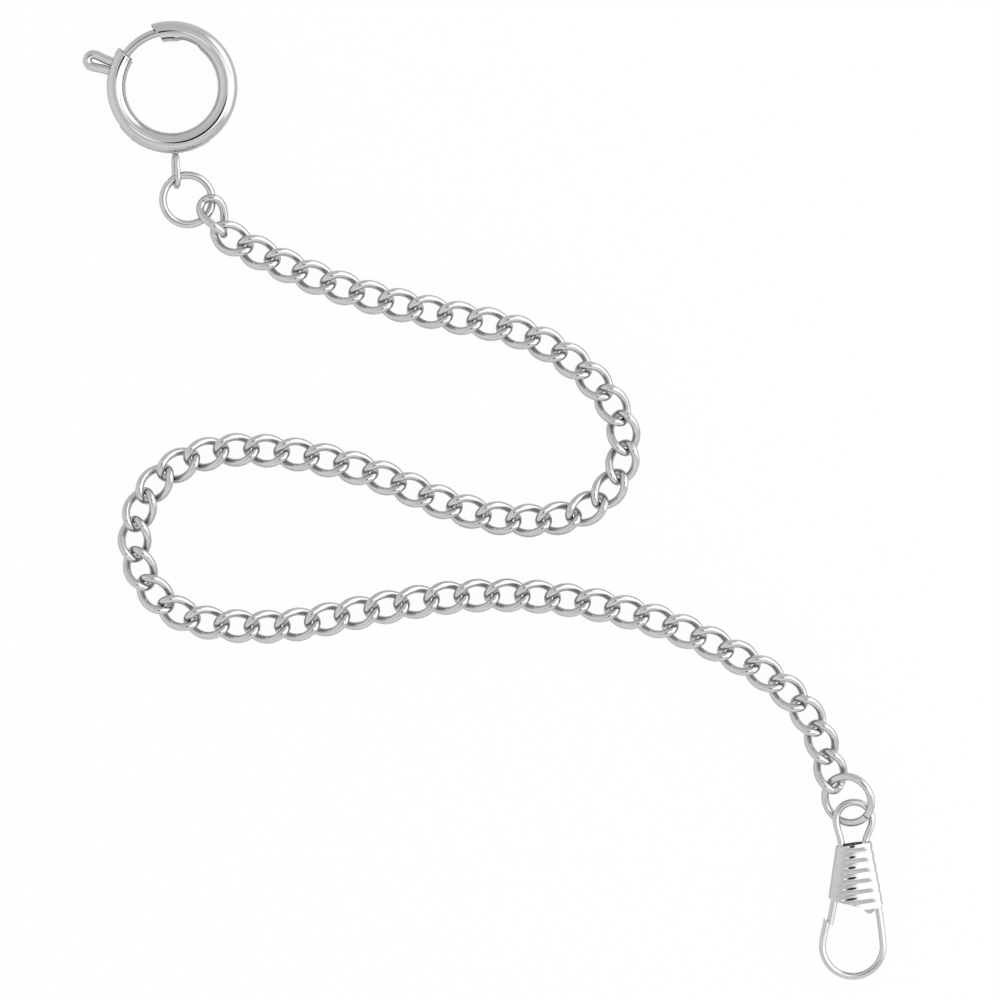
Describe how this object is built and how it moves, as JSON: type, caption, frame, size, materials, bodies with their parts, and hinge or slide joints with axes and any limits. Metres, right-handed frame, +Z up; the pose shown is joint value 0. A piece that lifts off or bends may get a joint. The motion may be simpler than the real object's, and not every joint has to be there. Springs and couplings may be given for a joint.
{
  "type": "pocket watch chain",
  "caption": "Flat curb chain lying in a loose double curve, with a spring ring for the watch at one end and a sprung wire clip with a ribbed sleeve at the other.",
  "frame": {"origin": "centre of the spring ring, on the middle plane of its tube, where the bow of the watch hangs", "axes": "+Z up out of the surface the chain lies on, normal to the spring ring; -Y leads from the ring's middle towards the clip end; +X to the right, seen from above"},
  "size_m": [0.1205, 0.1438, 0.0046],
  "materials": {
    "ring_metal": "polished",
    "bolt_metal": "polished",
    "chain_metal": "polished",
    "jump_ring_metal": "polished",
    "clip_wire_metal": "polished",
    "sleeve_metal": "polished",
    "spring_steel": "drawn wire"
  },
  "bodies": {
    "spring_ring": {"ring_tube": "ring_metal", "spring_stop": "bolt_metal", "bolt_spring": "spring_steel"},
    "bolt": {"ring_bolt": "bolt_metal", "thumb_loop": "ring_metal"},
    "eye": {"ring_eye": "ring_metal"},
    "watch_jump_ring": {"jump_ring_watch": "jump_ring_metal"},
    "link_01": {"link_01": "chain_metal"},
    "link_02": {"link_02": "chain_metal"},
    "link_03": {"link_03": "chain_metal"},
    "link_04_05": {"link_04_05": "chain_metal"},
    "link_06_07": {"link_06_07": "chain_metal"},
    "link_08_09": {"link_08_09": "chain_metal"},
    "link_10": {"link_10": "chain_metal"},
    "link_11": {"link_11": "chain_metal"},
    "link_12": {"link_12": "chain_metal"},
    "link_13": {"link_13": "chain_metal"},
    "link_14": {"link_14": "chain_metal"},
    "link_15": {"link_15": "chain_metal"},
    "link_16": {"link_16": "chain_metal"},
    "link_17": {"link_17": "chain_metal"},
    "link_18": {"link_18": "chain_metal"},
    "link_19": {"link_19": "chain_metal"},
    "link_20": {"link_20": "chain_metal"},
    "link_21": {"link_21": "chain_metal"},
    "link_22": {"link_22": "chain_metal"},
    "link_23": {"link_23": "chain_metal"},
    "link_24_25": {"link_24_25": "chain_metal"},
    "link_26_27": {"link_26_27": "chain_metal"},
    "link_28_29": {"link_28_29": "chain_metal"},
    "link_30_31": {"link_30_31": "chain_metal"},
    "link_32": {"link_32": "chain_metal"},
    "link_33": {"link_33": "chain_metal"},
    "link_34": {"link_34": "chain_metal"},
    "link_35": {"link_35": "chain_metal"},
    "link_36": {"link_36": "chain_metal"},
    "link_37": {"link_37": "chain_metal"},
    "link_38": {"link_38": "chain_metal"},
    "link_39": {"link_39": "chain_metal"},
    "link_40": {"link_40": "chain_metal"},
    "link_41": {"link_41": "chain_metal"},
    "link_42": {"link_42": "chain_metal"},
    "link_43": {"link_43": "chain_metal"},
    "link_44_45": {"link_44_45": "chain_metal"},
    "link_46_47": {"link_46_47": "chain_metal"},
    "link_48_49": {"link_48_49": "chain_metal"},
    "link_50_51": {"link_50_51": "chain_metal"},
    "link_52_53": {"link_52_53": "chain_metal"},
    "link_54_55": {"link_54_55": "chain_metal"},
    "link_56_57": {"link_56_57": "chain_metal"},
    "link_58_59": {"link_58_59": "chain_metal"},
    "link_60": {"link_60": "chain_metal"},
    "link_61": {"link_61": "chain_metal"},
    "link_62": {"link_62": "chain_metal"},
    "link_63": {"link_63": "chain_metal"},
    "link_64": {"link_64": "chain_metal"},
    "clip_jump_ring": {"jump_ring_clip": "jump_ring_metal"},
    "clip": {"clip_wire_body": "clip_wire_metal", "clip_sleeve": "sleeve_metal"},
    "gate": {"clip_gate": "clip_wire_metal"}
  },
  "joints": [
    {"name": "bolt_slide", "type": "hinge", "parent": "spring_ring", "child": "bolt", "pos_m": [0, 0, 0], "axis": [0, 0, 1], "range_deg": [0, 44], "stiffness_Nm_per_rad": 0.008, "springref_deg": -22.92, "deforming": ["bolt_spring"]},
    {"name": "gate_spring", "type": "hinge", "parent": "clip", "child": "gate", "pos_m": [0.10012, -0.11664, 0], "axis": [0, 0, 1], "range_deg": [0, 12], "stiffness_Nm_per_rad": 0.02, "springref_deg": -5.73},
    {"name": "eye_swivel", "type": "hinge", "parent": "spring_ring", "child": "eye", "pos_m": [0.00052, -0.00989, 0], "axis": [0.0523, -0.9986, 0], "continuous": true},
    {"name": "watch_ring_swing", "type": "hinge", "parent": "eye", "child": "watch_jump_ring", "pos_m": [0.0024, -0.01696, -0.00025], "axis": [0.1392, -0.0175, 0.9901], "range_deg": [-70, 70]},
    {"name": "clip_ring_swing", "type": "hinge", "parent": "link_64", "child": "clip_jump_ring", "pos_m": [0.1014, -0.10685, 0.00035], "axis": [-0.4101, -0.2419, 0.8794], "range_deg": [-60, 70]},
    {"name": "clip_swing", "type": "hinge", "parent": "clip_jump_ring", "child": "clip", "pos_m": [0.10236, -0.11, 0], "axis": [0, 0, -1], "range_deg": [-60, 60]},
    {"name": "link_01_hinge", "type": "hinge", "parent": "watch_jump_ring", "child": "link_01", "pos_m": [0.00583, -0.0182, 0], "axis": [0, 0, -1], "range_deg": [-12, 33]},
    {"name": "link_02_hinge", "type": "hinge", "parent": "link_01", "child": "link_02", "pos_m": [0.00701, -0.0217, 0], "axis": [0, 0, 1], "range_deg": [-7, 30]},
    {"name": "link_03_hinge", "type": "hinge", "parent": "link_02", "child": "link_03", "pos_m": [0.01099, -0.02391, 0], "axis": [0, 0, -1], "range_deg": [-23.5, 28.5]},
    {"name": "link_04_05_hinge", "type": "hinge", "parent": "link_03", "child": "link_04_05", "pos_m": [0.01506, -0.02594, 0], "axis": [0, 0, 1], "range_deg": [-28.5, 23.5]},
    {"name": "link_06_07_hinge", "type": "hinge", "parent": "link_04_05", "child": "link_06_07", "pos_m": [0.02345, -0.02946, 0], "axis": [0, 0, -1], "range_deg": [-23.5, 28.5]},
    {"name": "link_08_09_hinge", "type": "hinge", "parent": "link_06_07", "child": "link_08_09", "pos_m": [0.03211, -0.03223, 0], "axis": [0, 0, 1], "range_deg": [-28.5, 23.5]},
    {"name": "link_10_hinge", "type": "hinge", "parent": "link_08_09", "child": "link_10", "pos_m": [0.04099, -0.03424, 0], "axis": [0, 0, -1], "range_deg": [-26, 26]},
    {"name": "link_11_hinge", "type": "hinge", "parent": "link_10", "child": "link_11", "pos_m": [0.04545, -0.03515, 0], "axis": [0, 0, 1], "range_deg": [-26, 26]},
    {"name": "link_12_hinge", "type": "hinge", "parent": "link_11", "child": "link_12", "pos_m": [0.0499, -0.03605, 0], "axis": [0, 0, -1], "range_deg": [-34.5, 17.5]},
    {"name": "link_13_hinge", "type": "hinge", "parent": "link_12", "child": "link_13", "pos_m": [0.05418, -0.03761, 0], "axis": [0, 0, 1], "range_deg": [-17.5, 34.5]},
    {"name": "link_14_hinge", "type": "hinge", "parent": "link_13", "child": "link_14", "pos_m": [0.05818, -0.03978, 0], "axis": [0, 0, -1], "range_deg": [-34.5, 17.5]},
    {"name": "link_15_hinge", "type": "hinge", "parent": "link_14", "child": "link_15", "pos_m": [0.06181, -0.04252, 0], "axis": [0, 0, 1], "range_deg": [-16, 36]},
    {"name": "link_16_hinge", "type": "hinge", "parent": "link_15", "child": "link_16", "pos_m": [0.06492, -0.04585, 0], "axis": [0, 0, -1], "range_deg": [-36, 16]},
    {"name": "link_17_hinge", "type": "hinge", "parent": "link_16", "child": "link_17", "pos_m": [0.06739, -0.04966, 0], "axis": [0, 0, 1], "range_deg": [-2.5, 49.5]},
    {"name": "link_18_hinge", "type": "hinge", "parent": "link_17", "child": "link_18", "pos_m": [0.06814, -0.05415, 0], "axis": [0, 0, -1], "range_deg": [-49.5, 2.5]},
    {"name": "link_19_hinge", "type": "hinge", "parent": "link_18", "child": "link_19", "pos_m": [0.06704, -0.05857, 0], "axis": [0, 0, 1], "range_deg": [-2.5, 49.5]},
    {"name": "link_20_hinge", "type": "hinge", "parent": "link_19", "child": "link_20", "pos_m": [0.06427, -0.06218, 0], "axis": [0, 0, -1], "range_deg": [-49.5, 2.5]},
    {"name": "link_21_hinge", "type": "hinge", "parent": "link_20", "child": "link_21", "pos_m": [0.0603, -0.06438, 0], "axis": [0, 0, 1], "range_deg": [-5.5, 46.5]},
    {"name": "link_22_hinge", "type": "hinge", "parent": "link_21", "child": "link_22", "pos_m": [0.05579, -0.06505, 0], "axis": [0, 0, -1], "range_deg": [-34.5, 17.5]},
    {"name": "link_23_hinge", "type": "hinge", "parent": "link_22", "child": "link_23", "pos_m": [0.05124, -0.06505, 0], "axis": [0, 0, 1], "range_deg": [-17.5, 34.5]},
    {"name": "link_24_25_hinge", "type": "hinge", "parent": "link_23", "child": "link_24_25", "pos_m": [0.04675, -0.06438, 0], "axis": [0, 0, -1], "range_deg": [-32, 17.5]},
    {"name": "link_26_27_hinge", "type": "hinge", "parent": "link_24_25", "child": "link_26_27", "pos_m": [0.03815, -0.06142, 0], "axis": [0, 0, 1], "range_deg": [-22, 19]},
    {"name": "link_28_29_hinge", "type": "hinge", "parent": "link_26_27", "child": "link_28_29", "pos_m": [0.02977, -0.05787, 0], "axis": [0, 0, -1], "range_deg": [-13, 30]},
    {"name": "link_30_31_hinge", "type": "hinge", "parent": "link_28_29", "child": "link_30_31", "pos_m": [0.02099, -0.05551, 0], "axis": [0, 0, 1], "range_deg": [-30, 9]},
    {"name": "link_32_hinge", "type": "hinge", "parent": "link_30_31", "child": "link_32", "pos_m": [0.01196, -0.05441, 0], "axis": [0, 0, -1], "range_deg": [-7, 32.5]},
    {"name": "link_33_hinge", "type": "hinge", "parent": "link_32", "child": "link_33", "pos_m": [0.00741, -0.05452, 0], "axis": [0, 0, 1], "range_deg": [-39.5, 6]},
    {"name": "link_34_hinge", "type": "hinge", "parent": "link_33", "child": "link_34", "pos_m": [0.00302, -0.0557, 0], "axis": [0, 0, -1], "range_deg": [-6, 39.5]},
    {"name": "link_35_hinge", "type": "hinge", "parent": "link_34", "child": "link_35", "pos_m": [-0.00098, -0.05787, 0], "axis": [0, 0, 1], "range_deg": [-46.5, 5.5]},
    {"name": "link_36_hinge", "type": "hinge", "parent": "link_35", "child": "link_36", "pos_m": [-0.00396, -0.06131, 0], "axis": [0, 0, -1], "range_deg": [-5.5, 46.5]},
    {"name": "link_37_hinge", "type": "hinge", "parent": "link_36", "child": "link_37", "pos_m": [-0.00556, -0.06557, 0], "axis": [0, 0, 1], "range_deg": [-46.5, 5.5]},
    {"name": "link_38_hinge", "type": "hinge", "parent": "link_37", "child": "link_38", "pos_m": [-0.00556, -0.07012, 0], "axis": [0, 0, -1], "range_deg": [-5.5, 46.5]},
    {"name": "link_39_hinge", "type": "hinge", "parent": "link_38", "child": "link_39", "pos_m": [-0.00396, -0.07438, 0], "axis": [0, 0, 1], "range_deg": [-46.5, 5.5]},
    {"name": "link_40_hinge", "type": "hinge", "parent": "link_39", "child": "link_40", "pos_m": [-0.00098, -0.07781, 0], "axis": [0, 0, -1], "range_deg": [-5.5, 46.5]},
    {"name": "link_41_hinge", "type": "hinge", "parent": "link_40", "child": "link_41", "pos_m": [0.00302, -0.07999, 0], "axis": [0, 0, 1], "range_deg": [-45, 7]},
    {"name": "link_42_hinge", "type": "hinge", "parent": "link_41", "child": "link_42", "pos_m": [0.00751, -0.08074, 0], "axis": [0, 0, -1], "range_deg": [-6, 31.5]},
    {"name": "link_43_hinge", "type": "hinge", "parent": "link_42", "child": "link_43", "pos_m": [0.01205, -0.08105, 0], "axis": [0, 0, 1], "range_deg": [-31.5, 7]},
    {"name": "link_44_45_hinge", "type": "hinge", "parent": "link_43", "child": "link_44_45", "pos_m": [0.01659, -0.08094, 0], "axis": [0, 0, -1], "range_deg": [-8, 31.5]},
    {"name": "link_46_47_hinge", "type": "hinge", "parent": "link_44_45", "child": "link_46_47", "pos_m": [0.02555, -0.07939, 0], "axis": [0, 0, 1], "range_deg": [-25, 11]},
    {"name": "link_48_49_hinge", "type": "hinge", "parent": "link_46_47", "child": "link_48_49", "pos_m": [0.03449, -0.07766, 0], "axis": [0, 0, -1], "range_deg": [-16, 25]},
    {"name": "link_50_51_hinge", "type": "hinge", "parent": "link_48_49", "child": "link_50_51", "pos_m": [0.0435, -0.07643, 0], "axis": [0, 0, 1], "range_deg": [-22.5, 25]},
    {"name": "link_52_53_hinge", "type": "hinge", "parent": "link_50_51", "child": "link_52_53", "pos_m": [0.05259, -0.07631, 0], "axis": [0, 0, -1], "range_deg": [-29.5, 22.5]},
    {"name": "link_54_55_hinge", "type": "hinge", "parent": "link_52_53", "child": "link_54_55", "pos_m": [0.06164, -0.0773, 0], "axis": [0, 0, 1], "range_deg": [-22.5, 29.5]},
    {"name": "link_56_57_hinge", "type": "hinge", "parent": "link_54_55", "child": "link_56_57", "pos_m": [0.07049, -0.07939, 0], "axis": [0, 0, -1], "range_deg": [-29.5, 22.5]},
    {"name": "link_58_59_hinge", "type": "hinge", "parent": "link_56_57", "child": "link_58_59", "pos_m": [0.07902, -0.08254, 0], "axis": [0, 0, 1], "range_deg": [-22.5, 29.5]},
    {"name": "link_60_hinge", "type": "hinge", "parent": "link_58_59", "child": "link_60", "pos_m": [0.08711, -0.0867, 0], "axis": [0, 0, -1], "range_deg": [-32.5, 19.5]},
    {"name": "link_61_hinge", "type": "hinge", "parent": "link_60", "child": "link_61", "pos_m": [0.09081, -0.08934, 0], "axis": [0, 0, 1], "range_deg": [-19.5, 32.5]},
    {"name": "link_62_hinge", "type": "hinge", "parent": "link_61", "child": "link_62", "pos_m": [0.09419, -0.09239, 0], "axis": [0, 0, -1], "range_deg": [-40, 12]},
    {"name": "link_63_hinge", "type": "hinge", "parent": "link_62", "child": "link_63", "pos_m": [0.09674, -0.09616, 0], "axis": [0, 0, 1], "range_deg": [-12, 40]},
    {"name": "link_64_hinge", "type": "hinge", "parent": "link_63", "child": "link_64", "pos_m": [0.09829, -0.10044, 0], "axis": [0, 0, -1], "range_deg": [-32, 20]}
  ]
}
